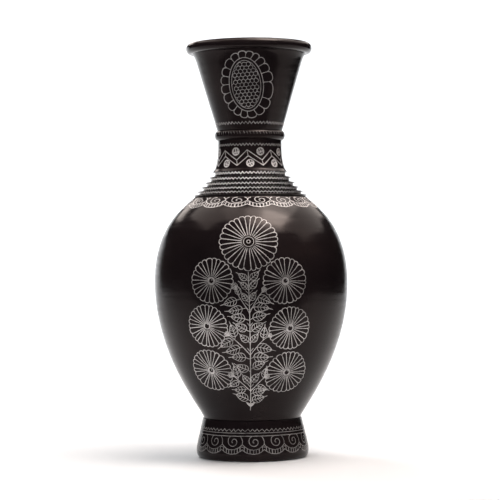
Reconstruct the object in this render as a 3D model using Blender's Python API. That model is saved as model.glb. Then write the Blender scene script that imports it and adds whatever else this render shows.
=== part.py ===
"""Burnished black clay vase, built as a potter builds it: thrown and coiled sections luted together.

The vase stands on the origin, with its axis on +Z. Every section is one turned piece. Its upper
edge carries a tongue that sits in the rebate of the section above, with a slip gap between them.
Sizes are in millimetres and are scaled to metres when a piece is made.
"""

import math

import bpy

MM = 0.001
SEGMENTS = 44
MERGE_DISTANCE = 0.00001

SLIP_GAP = 0.3
TONGUE_HEIGHT = 2.4

HEIGHT = 300.0

# Foot: a flared ring, open underneath, that carries the floor and the body.
FOOT_REST_RADIUS = 38.0
FOOT_TOE_RADIUS = 40.7
FOOT_TOE_Z = 4.9
FOOT_TOP_RADIUS = 36.1
FOOT_TOP_Z = 28.6
FOOT_INNER_RADIUS = 33.0
FLOOR_LEDGE_RADIUS = 27.5
FLOOR_LEDGE_Z = 22.0

# Two silver lines set in turned grooves round the foot.
LINE_HEIGHTS = {"foot_line_upper": 20.3, "foot_line_lower": 18.2}
LINE_WIDTH = 0.7
LINE_DEPTH = 0.6
LINE_GAP = 0.15

# Floor of the vase, a plug that joins foot and body.
FLOOR_RADIUS = 31.0
FLOOR_BOTTOM_Z = 22.3
FLOOR_TOP_Z = 32.0

# Body: two bowls that meet rim to rim at the belly.
BODY_BOTTOM_RADIUS = 35.4
BODY_BOTTOM_Z = 28.9
BELLY_RADIUS = 70.1
BELLY_Z = 126.4
BODY_WALL = 5.2
SHOULDER_RADIUS = 41.2
SHOULDER_Z = 187.8
CAVITY_TOP = (34.4, 186.0)
CAVITY_FLOOR_Z = 33.0

# Stepped shoulder: sharp lips that shrink towards the neck, each (radius, height).
LOWEST_LIP = (41.1, 190.2)
HIGHEST_LIP = (26.6, 207.5)
LIP_COUNT = 6
LIP_RISER = 1.9
LIP_OVERHANG = 0.3
LIP_CROWDING = 0.25
SHOULDER_TOP_Z = 208.4

# Neck, collar bead and mouth.
NECK_BASE_RADIUS = 25.5
NECK_RADIUS = 22.8
NECK_WAIST_Z = 222.5
BORE_RADIUS = 18.4
BORE_FLARE = 1.4
BEAD_RADIUS = 25.4
BEAD_SEAT_RADIUS = 22.2
BEAD_BOTTOM_Z = 229.4
BEAD_TOP_Z = 236.6
NECK_TOP_Z = 233.0
GROOVE_RADIUS = 23.4
MOUTH_BASE_RADIUS = 24.9
MOUTH_BASE_Z = 241.5
MOUTH_EDGE_RADIUS = 40.4
MOUTH_EDGE_Z = 291.6
MOUTH_FLARE = (37.3, 283.5)
MOUTH_WALL = 4.3
ROLL_RADIUS = 3.8
ROLL_CENTRE = (41.9, HEIGHT - ROLL_RADIUS)

CLAY = {"colour": (0.012, 0.010, 0.011, 1.0), "roughness": 0.28, "metallic": 0.0}
SILVER = {"colour": (0.52, 0.51, 0.50, 1.0), "roughness": 0.45, "metallic": 0.7}


def clear_scene():
    for old in list(bpy.data.objects):
        bpy.data.objects.remove(old, do_unlink=True)


def finish_material(name, finish):
    """A Principled material with one colour, roughness and metallic value."""
    material = bpy.data.materials.new(name)
    material.use_nodes = True
    shader = material.node_tree.nodes["Principled BSDF"]
    shader.inputs["Base Color"].default_value = finish["colour"]
    shader.inputs["Roughness"].default_value = finish["roughness"]
    shader.inputs["Metallic"].default_value = finish["metallic"]
    material.diffuse_color = finish["colour"]
    return material


def turned_piece(name, outline, finish, closed=True):
    """A piece turned about Z from an outline of (radius, height) points, down its outer side first."""
    mesh = bpy.data.meshes.new(name)
    points = [(radius * MM, 0.0, height * MM) for radius, height in outline]
    edges = [(i, i + 1) for i in range(len(points) - 1)]
    if closed:
        edges.append((len(points) - 1, 0))
    mesh.from_pydata(points, edges, [])
    mesh.materials.append(finish_material(name + "_finish", finish))
    piece = bpy.data.objects.new(name, mesh)
    bpy.context.scene.collection.objects.link(piece)

    screw = piece.modifiers.new("Turn", "SCREW")
    screw.axis = "Z"
    screw.angle = math.tau
    screw.steps = SEGMENTS
    screw.render_steps = SEGMENTS
    screw.use_merge_vertices = True
    screw.merge_threshold = MERGE_DISTANCE
    screw.use_smooth_shade = True
    return piece


def bezier(start, start_handle, end_handle, end, steps):
    """Points on a cubic curve, both ends included."""
    points = []
    for i in range(steps + 1):
        t = i / steps
        weights = ((1 - t) ** 3, 3 * t * (1 - t) ** 2, 3 * t * t * (1 - t), t**3)
        corners = (start, start_handle, end_handle, end)
        points.append(tuple(sum(w * c[k] for w, c in zip(weights, corners)) for k in (0, 1)))
    return points


def arc(centre, radii, start_degrees, end_degrees, steps):
    """Points on an ellipse's arc, both ends included, with angles from the outward direction."""
    points = []
    for i in range(steps + 1):
        turn = math.radians(start_degrees + (end_degrees - start_degrees) * i / steps)
        points.append((centre[0] + radii[0] * math.cos(turn), centre[1] + radii[1] * math.sin(turn)))
    return points


def radius_at(curve, height):
    """The radius of a curve of (radius, height) points at one height."""
    for (r0, z0), (r1, z1) in zip(curve, curve[1:]):
        if min(z0, z1) <= height <= max(z0, z1) and z0 != z1:
            return r0 + (r1 - r0) * (height - z0) / (z1 - z0)
    nearest = min(curve, key=lambda point: abs(point[1] - height))
    return nearest[0]


def between(curve, low, high):
    """The curve's points strictly between two heights, from the top down."""
    inside = [point for point in curve if low + 0.2 < point[1] < high - 0.2]
    return sorted(inside, key=lambda point: -point[1])


def tongue_radius(outer, inner, joint_z):
    return (radius_at(outer, joint_z) + radius_at(inner, joint_z + TONGUE_HEIGHT)) / 2


def tongue_edge(outer, inner, joint_z):
    """The upper edge of a section, from the inner wall over the tongue to the outer wall."""
    ledge = joint_z - SLIP_GAP / 2
    crest = joint_z + TONGUE_HEIGHT - SLIP_GAP / 2
    side = tongue_radius(outer, inner, joint_z) - SLIP_GAP / 2
    return [(radius_at(inner, crest), crest), (side, crest), (side, ledge), (radius_at(outer, ledge), ledge)]


def rebate_edge(outer, inner, joint_z):
    """The lower edge of a section, from the outer wall up round the tongue to the inner wall."""
    lip = joint_z + SLIP_GAP / 2
    roof = joint_z + TONGUE_HEIGHT + SLIP_GAP / 2
    side = tongue_radius(outer, inner, joint_z) + SLIP_GAP / 2
    return [(radius_at(outer, lip), lip), (side, lip), (side, roof), (radius_at(inner, roof), roof)]


def section(name, outer, inner, bottom_z, top_z):
    """A turned section between two luted joints."""
    outline = between(outer, bottom_z + SLIP_GAP / 2, top_z - SLIP_GAP / 2)
    outline += rebate_edge(outer, inner, bottom_z)
    inner_low = bottom_z + TONGUE_HEIGHT + SLIP_GAP / 2
    inner_high = top_z + TONGUE_HEIGHT - SLIP_GAP / 2
    outline += reversed(between(inner, inner_low, inner_high))
    outline += tongue_edge(outer, inner, top_z)
    return turned_piece(name, outline, CLAY)


def foot_outer():
    """The foot's outer wall, from its top edge down to the rounded toe."""
    return bezier(
        (FOOT_TOP_RADIUS, FOOT_TOP_Z),
        (37.6, 20.0),
        (40.4, 11.5),
        (FOOT_TOE_RADIUS, FOOT_TOE_Z),
        6,
    )


def line_groove(wall, height):
    """A square groove in the foot's wall for one silver line, from the top down."""
    top = height + LINE_WIDTH / 2 + LINE_GAP
    bottom = height - LINE_WIDTH / 2 - LINE_GAP
    depth = LINE_DEPTH + LINE_GAP
    outer_top = radius_at(wall, top)
    outer_bottom = radius_at(wall, bottom)
    return [
        (outer_top, top),
        (outer_top - depth, top),
        (outer_top - depth, bottom),
        (outer_bottom, bottom),
    ]


def foot_ring():
    """The flared foot, with a ledge inside for the floor and two grooves for the silver lines."""
    wall = foot_outer()
    groove_points = []
    for height in sorted(LINE_HEIGHTS.values(), reverse=True):
        groove_points += line_groove(wall, height)
    top_of_grooves = groove_points[0][1]
    end_of_grooves = groove_points[-1][1]
    outline = [point for point in wall if point[1] > top_of_grooves + 0.5]
    outline += groove_points
    outline += [point for point in wall if point[1] < end_of_grooves - 0.5]
    toe_drop = (FOOT_TOE_RADIUS - FOOT_REST_RADIUS, FOOT_TOE_Z)
    outline += arc((FOOT_REST_RADIUS, FOOT_TOE_Z), toe_drop, 0, -90, 4)[1:]
    outline += [
        (FOOT_INNER_RADIUS + 1.2, 0.0),
        (FOOT_INNER_RADIUS, 1.2),
        (FLOOR_LEDGE_RADIUS + 1.5, FLOOR_LEDGE_Z - 5.0),
        (FLOOR_LEDGE_RADIUS, FLOOR_LEDGE_Z - 3.0),
        (FLOOR_LEDGE_RADIUS, FLOOR_LEDGE_Z),
        (FLOOR_RADIUS + SLIP_GAP, FLOOR_LEDGE_Z),
        (FLOOR_RADIUS + SLIP_GAP, FOOT_TOP_Z),
    ]
    return turned_piece("foot_ring", outline, CLAY)


def foot_lines():
    """The two silver lines, each a hoop in its groove."""
    wall = foot_outer()
    for name, height in LINE_HEIGHTS.items():
        outer_radius = radius_at(wall, height + LINE_WIDTH / 2 + LINE_GAP)
        seat = outer_radius - LINE_DEPTH
        outline = [
            (radius_at(wall, height + LINE_WIDTH / 2), height + LINE_WIDTH / 2),
            (radius_at(wall, height - LINE_WIDTH / 2), height - LINE_WIDTH / 2),
            (seat, height - LINE_WIDTH / 2),
            (seat, height + LINE_WIDTH / 2),
        ]
        turned_piece(name, outline, SILVER)


def base_disc():
    """The floor, a disc with a slightly dished top and a bevelled lower edge."""
    outline = [
        (0.0, FLOOR_TOP_Z - 1.5),
        (FLOOR_RADIUS - 9.0, FLOOR_TOP_Z - 1.0),
        (FLOOR_RADIUS - 1.5, FLOOR_TOP_Z),
        (FLOOR_RADIUS, FLOOR_TOP_Z - 1.2),
        (FLOOR_RADIUS, FLOOR_BOTTOM_Z),
        (0.0, FLOOR_BOTTOM_Z),
    ]
    return turned_piece("base_disc", outline, CLAY, closed=False)


def body_outer():
    """The egg-shaped outer wall, from the shoulder down to the foot."""
    upper = bezier(
        (SHOULDER_RADIUS, SHOULDER_Z),
        (44.5, 183.6),
        (BELLY_RADIUS, 170.5),
        (BELLY_RADIUS, BELLY_Z),
        10,
    )
    lower = bezier(
        (BELLY_RADIUS, BELLY_Z),
        (BELLY_RADIUS, 72.5),
        (BODY_BOTTOM_RADIUS - 1.0, 32.0),
        (BODY_BOTTOM_RADIUS, BODY_BOTTOM_Z),
        9,
    )
    return upper + lower[1:]


def body_inner():
    """The cavity's wall, from under the shoulder down to the floor."""
    cavity = BELLY_RADIUS - BODY_WALL
    floor_radius = FLOOR_RADIUS + SLIP_GAP
    upper = bezier(CAVITY_TOP, (37.5, 180.5), (cavity, 166.0), (cavity, BELLY_Z), 6)
    lower = bezier((cavity, BELLY_Z), (cavity, 76.0), (33.0, 37.0), (floor_radius, CAVITY_FLOOR_Z), 6)
    return upper + lower[1:]


def lower_body():
    """The lower bowl. Its lower edge stands on the foot and closes round the floor."""
    outer = body_outer()
    inner = body_inner()
    floor_radius = FLOOR_RADIUS + SLIP_GAP
    outline = between(outer, BODY_BOTTOM_Z, BELLY_Z - SLIP_GAP / 2)
    outline += [(BODY_BOTTOM_RADIUS, BODY_BOTTOM_Z), (floor_radius, BODY_BOTTOM_Z)]
    outline += reversed(between(inner, BODY_BOTTOM_Z, BELLY_Z + TONGUE_HEIGHT - SLIP_GAP / 2))
    outline += tongue_edge(outer, inner, BELLY_Z)
    return turned_piece("lower_body", outline, CLAY)


def upper_body():
    """The upper bowl, from the belly to the edge of the stepped shoulder."""
    return section("upper_body", body_outer(), body_inner(), BELLY_Z, SHOULDER_Z)


def shoulder_outer():
    """The terraces, from the highest lip down: a lip, a short riser and a slope to the next lip."""
    points = [(NECK_BASE_RADIUS, SHOULDER_TOP_Z + 1.0)]
    for i in range(LIP_COUNT):
        t = i / (LIP_COUNT - 1)
        lip_radius = HIGHEST_LIP[0] + (LOWEST_LIP[0] - HIGHEST_LIP[0]) * t
        drop = t * (1 + LIP_CROWDING - LIP_CROWDING * t)
        lip_z = HIGHEST_LIP[1] + (LOWEST_LIP[1] - HIGHEST_LIP[1]) * drop
        points.append((lip_radius, lip_z))
        if i < LIP_COUNT - 1:
            points.append((lip_radius - LIP_OVERHANG, lip_z - LIP_RISER))
    return points


def shoulder_inner():
    """The inside of the stepped shoulder, a smooth cone that opens into the body."""
    neck_end = (BORE_RADIUS + BORE_FLARE, SHOULDER_TOP_Z + 2 * TONGUE_HEIGHT)
    return bezier(neck_end, (21.0, 204.0), (27.0, 196.5), CAVITY_TOP, 5)


def stepped_shoulder():
    outer = shoulder_outer()
    inner = shoulder_inner()
    top = SHOULDER_TOP_Z
    body_side = tongue_radius(body_outer(), body_inner(), SHOULDER_Z) + SLIP_GAP / 2
    lip = SHOULDER_Z + SLIP_GAP / 2
    roof = SHOULDER_Z + TONGUE_HEIGHT + SLIP_GAP / 2
    outline = between(outer, lip, top - SLIP_GAP / 2)
    outline += [(SHOULDER_RADIUS, lip), (body_side, lip), (body_side, roof)]
    outline.append((radius_at(inner, roof), roof))
    outline += reversed(between(inner, roof, top + TONGUE_HEIGHT - SLIP_GAP / 2))
    outline += tongue_edge(outer, inner, top)
    return turned_piece("stepped_shoulder", outline, CLAY)


def neck_outer():
    """The waisted neck, up to the seat of the collar bead."""
    waist = bezier(
        (NECK_RADIUS + 0.1, BEAD_BOTTOM_Z - SLIP_GAP),
        (NECK_RADIUS - 0.1, NECK_WAIST_Z + 1.0),
        (NECK_RADIUS + 0.4, 214.0),
        (NECK_BASE_RADIUS, SHOULDER_TOP_Z),
        6,
    )
    seat = [(BEAD_SEAT_RADIUS, NECK_TOP_Z + 1.0), (BEAD_SEAT_RADIUS, BEAD_BOTTOM_Z - SLIP_GAP + 0.01)]
    return seat + waist


def bore_wall():
    """The straight bore through the neck, with a little flare into the shoulder."""
    flare_start = SHOULDER_TOP_Z + 10.0
    return [
        (BORE_RADIUS, NECK_TOP_Z + 2 * TONGUE_HEIGHT),
        (BORE_RADIUS, flare_start),
        (BORE_RADIUS + BORE_FLARE, SHOULDER_TOP_Z),
    ]


def neck():
    outer = neck_outer()
    inner = bore_wall()
    side = tongue_radius(shoulder_outer(), shoulder_inner(), SHOULDER_TOP_Z) + SLIP_GAP / 2
    lip = SHOULDER_TOP_Z + SLIP_GAP / 2
    roof = SHOULDER_TOP_Z + TONGUE_HEIGHT + SLIP_GAP / 2
    seat_z = BEAD_BOTTOM_Z - SLIP_GAP
    outline = [(BEAD_SEAT_RADIUS, seat_z), (NECK_RADIUS + 0.1, seat_z)]
    outline += between(outer, lip, seat_z)
    outline += [(radius_at(outer, lip), lip), (side, lip), (side, roof), (radius_at(inner, roof), roof)]
    outline += reversed(between(inner, roof, NECK_TOP_Z))
    outline += tongue_edge(outer, inner, NECK_TOP_Z)
    return turned_piece("neck", outline, CLAY)


def collar_bead():
    """A raised hoop that covers the joint between neck and mouth."""
    inner_radius = BEAD_SEAT_RADIUS + SLIP_GAP
    middle = (BEAD_BOTTOM_Z + BEAD_TOP_Z) / 2
    half_height = (BEAD_TOP_Z - BEAD_BOTTOM_Z) / 2
    swell = BEAD_RADIUS - inner_radius
    outline = arc((inner_radius, middle), (swell, half_height), 80, -80, 8)
    outline += [(inner_radius, BEAD_BOTTOM_Z), (inner_radius, BEAD_TOP_Z)]
    return turned_piece("collar_bead", outline, CLAY)


def mouth_outer():
    """The trumpet mouth, from the edge under the roll down to the groove above the bead."""
    flare = bezier((MOUTH_EDGE_RADIUS, MOUTH_EDGE_Z), (39.0, 288.8), (38.0, 286.0), MOUTH_FLARE, 3)
    band = [
        (MOUTH_BASE_RADIUS, MOUTH_BASE_Z),
        (24.2, 239.2),
        (GROOVE_RADIUS, BEAD_TOP_Z + SLIP_GAP),
    ]
    return flare + band


def mouth_inner():
    """The inside of the mouth, which runs into the bore."""
    return [
        (MOUTH_EDGE_RADIUS - MOUTH_WALL + 0.6, MOUTH_EDGE_Z + TONGUE_HEIGHT + 0.5),
        (MOUTH_FLARE[0] - MOUTH_WALL, MOUTH_FLARE[1]),
        (MOUTH_BASE_RADIUS - MOUTH_WALL + 0.4, MOUTH_BASE_Z + 2.0),
        (BORE_RADIUS, NECK_TOP_Z + TONGUE_HEIGHT),
    ]


def mouth_funnel():
    """The mouth stands on the neck inside the collar bead and carries the rolled rim."""
    outer = mouth_outer()
    inner = mouth_inner()
    neck_side = tongue_radius(neck_outer(), bore_wall(), NECK_TOP_Z) + SLIP_GAP / 2
    lip = NECK_TOP_Z + SLIP_GAP / 2
    roof = NECK_TOP_Z + TONGUE_HEIGHT + SLIP_GAP / 2
    shelf = BEAD_TOP_Z + SLIP_GAP
    outline = between(outer, shelf, MOUTH_EDGE_Z - SLIP_GAP / 2)
    outline += [(GROOVE_RADIUS, shelf), (BEAD_SEAT_RADIUS, shelf), (BEAD_SEAT_RADIUS, lip)]
    outline += [(neck_side, lip), (neck_side, roof), (radius_at(inner, roof), roof)]
    outline += reversed(between(inner, roof, MOUTH_EDGE_Z + TONGUE_HEIGHT - SLIP_GAP / 2))
    outline += tongue_edge(outer, inner, MOUTH_EDGE_Z)
    return turned_piece("mouth_funnel", outline, CLAY)


def rim_roll():
    """The rolled rim, a full round coil set over the mouth's edge."""
    roll = arc(ROLL_CENTRE, (ROLL_RADIUS, ROLL_RADIUS), 160, -95, 11)
    outline = roll + rebate_edge(mouth_outer(), mouth_inner(), MOUTH_EDGE_Z)
    return turned_piece("rim_roll", outline, CLAY)


clear_scene()
foot_ring()
foot_lines()
base_disc()
lower_body()
upper_body()
stepped_shoulder()
neck()
collar_bead()
mouth_funnel()
rim_roll()
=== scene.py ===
"""Looks of the burnished black clay vase with its silvery line inlay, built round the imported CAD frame.

Sizes on the vase are in millimetres and become metres when a mesh is made. The studio is in metres.
The front of the vase, with the bouquet, faces -Y. Angles run round the axis from the front,
positive towards +X.
"""

import math

import bpy
import numpy as np
from mathutils import Euler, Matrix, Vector


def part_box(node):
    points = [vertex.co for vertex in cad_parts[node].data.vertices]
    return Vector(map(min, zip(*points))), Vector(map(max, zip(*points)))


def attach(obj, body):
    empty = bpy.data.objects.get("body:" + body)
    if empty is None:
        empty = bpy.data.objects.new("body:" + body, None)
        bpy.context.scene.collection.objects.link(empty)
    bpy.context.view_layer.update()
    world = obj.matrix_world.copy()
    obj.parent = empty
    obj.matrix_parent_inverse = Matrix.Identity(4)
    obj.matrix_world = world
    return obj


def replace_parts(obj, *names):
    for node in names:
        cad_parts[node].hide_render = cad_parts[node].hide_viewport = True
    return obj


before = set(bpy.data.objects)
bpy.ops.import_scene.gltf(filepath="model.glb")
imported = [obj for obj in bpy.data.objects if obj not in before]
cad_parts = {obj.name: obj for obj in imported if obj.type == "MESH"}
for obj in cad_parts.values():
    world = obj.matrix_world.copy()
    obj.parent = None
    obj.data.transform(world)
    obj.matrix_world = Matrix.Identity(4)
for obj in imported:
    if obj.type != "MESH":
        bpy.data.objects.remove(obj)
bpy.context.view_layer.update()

MM = 0.001
TAU = math.tau
RNG = np.random.default_rng(11)


def top_of(node):
    """A CAD node's highest level, in millimetres."""
    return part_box(node)[1].z / MM


def foot_of(node):
    """A CAD node's lowest level, in millimetres."""
    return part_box(node)[0].z / MM


def reach_of(node):
    """A CAD node's largest radius, in millimetres."""
    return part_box(node)[1].x / MM


# ---------------------------------------------------------------- outline of the clay

HEIGHT = top_of("rim_roll")
TONGUE = 2.4
REST_RADIUS = 38.0
TOE = (reach_of("foot_ring"), 4.9)
FOOT_TOP = (36.1, top_of("foot_ring"))
BODY_BOTTOM = (35.4, foot_of("lower_body"))
BELLY = (reach_of("lower_body"), foot_of("upper_body"))
SHOULDER = (41.2, foot_of("stepped_shoulder"))
LOWEST_LIP = (reach_of("stepped_shoulder"), 189.4)
HIGHEST_LIP = (27.1, 206.5)
LIP_COUNT = 6
LIP_CROWDING = 0.25
LIP_THICK = 0.4
LIP_ROUND = 0.3
UNDERCUT = 1.6
RISER_SHARE = 0.64
NECK_BASE = (25.5, foot_of("neck"))
NECK_WAIST = 22.8
BEAD_BOTTOM = foot_of("collar_bead")
BEAD_TOP = top_of("collar_bead")
BEAD_RADIUS = reach_of("collar_bead")
NECK_JOINT = foot_of("mouth_funnel")
GROOVE = (23.4, BEAD_TOP)
MOUTH_BASE = (24.9, 241.5)
MOUTH_FLARE = (37.3, 283.5)
MOUTH_EDGE = (40.4, foot_of("rim_roll"))
ROLL_RADIUS = 3.8
ROLL_CENTRE = (reach_of("rim_roll") - ROLL_RADIUS, HEIGHT - ROLL_RADIUS)
BEAD_SEAT = 22.2
BORE_RADIUS = 18.4
BORE_BOTTOM = BORE_RADIUS + 1.4
SHOULDER_INNER = (34.4, 186.0)
FOOT_HOLLOW = 27.5
WALL = 5.2
MOUTH_WALL = 4.3
FLOOR_RADIUS = reach_of("base_disc")


def bezier(start, start_handle, end_handle, end, steps):
    """Points on a cubic curve, both ends included."""
    t = np.linspace(0.0, 1.0, steps + 1)[:, None]
    corners = [np.array(corner, float) for corner in (start, start_handle, end_handle, end)]
    weights = ((1 - t) ** 3, 3 * t * (1 - t) ** 2, 3 * t * t * (1 - t), t**3)
    return sum(w * c for w, c in zip(weights, corners))


def arc(centre, radii, start_degrees, end_degrees, steps):
    """Points on an ellipse's arc, both ends included."""
    turn = np.radians(np.linspace(start_degrees, end_degrees, steps + 1))
    return np.stack([centre[0] + radii[0] * np.cos(turn), centre[1] + radii[1] * np.sin(turn)], 1)


def around(count):
    """Angles spaced evenly all the way round."""
    return np.arange(count) * TAU / count


def chain(*curves):
    """Curves joined end to end, without repeated points."""
    points = np.concatenate([np.atleast_2d(np.array(curve, float)) for curve in curves])
    steps = np.linalg.norm(np.diff(points, axis=0), axis=1)
    return points[np.concatenate([[True], steps > 0.005])]


def lips():
    """The underside tip of each of the shoulder's lips, from the highest down, as (radius, height)."""
    points = []
    for i in range(LIP_COUNT):
        t = i / (LIP_COUNT - 1)
        drop = t * (1 + LIP_CROWDING - LIP_CROWDING * t)
        radius = HIGHEST_LIP[0] + (LOWEST_LIP[0] - HIGHEST_LIP[0]) * t
        points.append((radius, HIGHEST_LIP[1] + (LOWEST_LIP[1] - HIGHEST_LIP[1]) * drop))
    return points


def lip_edge(lip):
    """The thin rounded edge of a lip, from its top down to its underside."""
    radius, height = lip
    return [
        (radius - LIP_ROUND, height + LIP_THICK),
        (radius - 0.08, height + 0.6 * LIP_THICK),
        (radius, height + 0.25 * LIP_THICK),
        (radius - 0.06, height + 0.02),
        (radius - 0.35, height),
    ]


def terrace(lip, next_lip):
    """One step of the shoulder: a lip, the wall under it that carries a zigzag, and a slope."""
    radius, height = lip
    riser = RISER_SHARE * (height - next_lip[1])
    back = radius - UNDERCUT
    wall = [
        (radius - 0.8 * UNDERCUT, height + 0.05),
        (back, height - 0.15),
        (back + 0.05, height - 0.5 * riser),
        (back + 0.2, height - riser),
    ]
    target = (next_lip[0] - LIP_ROUND, next_lip[1] + LIP_THICK)
    slope_start = (back + 0.5, height - riser - 0.3)
    slope_end = (target[0] - 1.6, target[1] + 0.35)
    return chain(lip_edge(lip), wall, bezier(wall[-1], slope_start, slope_end, target, 8))


FOOT_OUTER = chain(
    arc((FOOT_TOP[0] - 0.5, FOOT_TOP[1] - 0.5), (0.5, 0.5), 90, 5, 4),
    bezier((FOOT_TOP[0], FOOT_TOP[1] - 0.6), (37.6, 20.0), (40.4, 11.5), TOE, 30),
    arc((REST_RADIUS, TOE[1]), (TOE[0] - REST_RADIUS, TOE[1]), 0, -90, 10),
)
UPPER_OUTER = bezier(SHOULDER, (44.5, 183.6), (BELLY[0], 170.5), BELLY, 90)
LOWER_OUTER = bezier(BELLY, (BELLY[0], 72.5), (BODY_BOTTOM[0] - 1.0, 32.0), BODY_BOTTOM, 110)
SHOULDER_OUTER = chain(
    (NECK_BASE[0], NECK_BASE[1]),
    *[terrace(lip, low) for lip, low in zip(lips(), lips()[1:])],
    lip_edge(LOWEST_LIP),
    [(LOWEST_LIP[0] - 0.9, LOWEST_LIP[1] - 0.1), (LOWEST_LIP[0] - 1.1, LOWEST_LIP[1] - 0.5)],
    (SHOULDER[0] - 0.75, SHOULDER[1] + 0.35),
    SHOULDER,
)
NECK_OUTER = bezier(
    (NECK_WAIST + 0.3, BEAD_BOTTOM), (NECK_WAIST - 0.1, 223.5), (NECK_WAIST + 0.4, 214.0), NECK_BASE, 30
)
BEAD_CENTRE = (GROOVE[0] - 0.9, (BEAD_BOTTOM + BEAD_TOP) / 2)
BEAD_OUTER = arc(BEAD_CENTRE, (BEAD_RADIUS - BEAD_CENTRE[0], (BEAD_TOP - BEAD_BOTTOM) / 2), 90, -90, 28)
MOUTH_OUTER = chain(
    bezier(MOUTH_EDGE, (39.1, 289.4), (38.2, 286.6), MOUTH_FLARE, 12),
    bezier(MOUTH_FLARE, (33.2, 269.5), (28.7, 254.5), MOUTH_BASE, 40),
    bezier(MOUTH_BASE, (24.6, 240.4), (24.1, 238.4), GROOVE, 6),
)
ROLL_OUTER = arc(ROLL_CENTRE, (ROLL_RADIUS, ROLL_RADIUS), 165, -108, 40)


def wobble(turn, height):
    """How far the hand-made surface stands off the turned outline."""
    slow = 0.09 * np.sin(2 * turn + 0.021 * height) + 0.05 * np.sin(3 * turn + 1.3 - 0.045 * height)
    fast = 0.025 * np.sin(5 * turn + 0.13 * height) + 0.014 * np.sin(0.9 * height + 2 * np.sin(turn))
    return slow + fast


class Meridian:
    """A stretch of the outline that ornament lies on, looked up by height or by length along it."""

    def __init__(self, outline):
        points = np.array(outline, float)
        points = points[np.argsort(points[:, 1], kind="stable")]
        self.radii = points[:, 0]
        self.heights = points[:, 1]
        steps = np.hypot(np.diff(self.radii), np.diff(self.heights))
        self.lengths = np.concatenate([[0.0], np.cumsum(steps)])

    def length_at(self, height):
        return np.interp(height, self.heights, self.lengths)

    def height_at(self, length):
        return np.interp(length, self.lengths, self.heights)

    def radius_at(self, height):
        return np.interp(height, self.heights, self.radii)

    def point(self, turn, height):
        radius = self.radius_at(height) + wobble(turn, height)
        return np.stack([radius * np.sin(turn), -radius * np.cos(turn), height], -1)

    def normal(self, turn, height):
        step = 0.4
        slope = (self.radius_at(height + step) - self.radius_at(height - step)) / (2 * step)
        slope = np.broadcast_to(slope, np.shape(turn))
        normal = np.stack([np.sin(turn), -np.cos(turn), -slope], -1)
        return normal / np.linalg.norm(normal, axis=-1, keepdims=True)


# ---------------------------------------------------------------- clay sections

CLAY_SEGMENTS = 240
STEADY_RADIUS = 10.0


def body_inner():
    """The cavity's wall from under the shoulder down to the floor."""
    cavity = BELLY[0] - WALL
    upper = bezier(SHOULDER_INNER, (37.5, 180.5), (cavity, 166.0), (cavity, BELLY[1]), 24)
    lower = bezier((cavity, BELLY[1]), (cavity, 76.0), (33.0, 37.0), (FLOOR_RADIUS, 33.0), 24)
    return upper, lower


def turned_mesh(name, outline):
    """A closed piece turned from an outline of (radius, height) points, down its outer side first.

    The wobble fades out towards the axis, inside the steady radius.
    """
    outline = np.array(outline, float)
    turn = around(CLAY_SEGMENTS)
    radius = outline[:, 0][:, None] + np.zeros(CLAY_SEGMENTS)
    height = outline[:, 1][:, None] + np.zeros(CLAY_SEGMENTS)
    radius = radius + wobble(turn[None, :], height) * np.minimum(1.0, radius / STEADY_RADIUS)
    verts = np.stack([radius * np.sin(turn), -radius * np.cos(turn), height], -1).reshape(-1, 3) * MM
    row = np.arange(len(outline))[:, None] * CLAY_SEGMENTS
    after = np.roll(row, -1, axis=0)
    side = np.arange(CLAY_SEGMENTS)[None, :]
    next_side = np.roll(side, -1, axis=1)
    faces = np.stack([row + side, after + side, after + next_side, row + next_side], -1).reshape(-1, 4)
    return mesh_object(name, verts, faces.tolist())


def mesh_object(name, verts, faces, sharp_degrees=40):
    mesh = bpy.data.meshes.new(name)
    mesh.from_pydata([tuple(v) for v in verts], [], faces)
    mesh.validate()
    mesh.update()
    piece = bpy.data.objects.new(name, mesh)
    bpy.context.scene.collection.objects.link(piece)
    mesh.shade_smooth()
    mesh.set_sharp_from_angle(angle=math.radians(sharp_degrees))
    return piece


def joint(outer, inner, level, side):
    """The tongue or rebate face between two sections, from the outer wall to the inner wall."""
    return [(outer, level), (side, level), (side, level + TONGUE), (inner, level + TONGUE)]


def radius_on(curve, height):
    order = np.argsort(curve[:, 1])
    return float(np.interp(height, curve[order, 1], curve[order, 0]))


def down(curve, low, high):
    """The part of a curve between two levels, from the top down."""
    part = curve[(curve[:, 1] > low + 0.05) & (curve[:, 1] < high - 0.05)]
    return part[np.argsort(-part[:, 1], kind="stable")]


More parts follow.
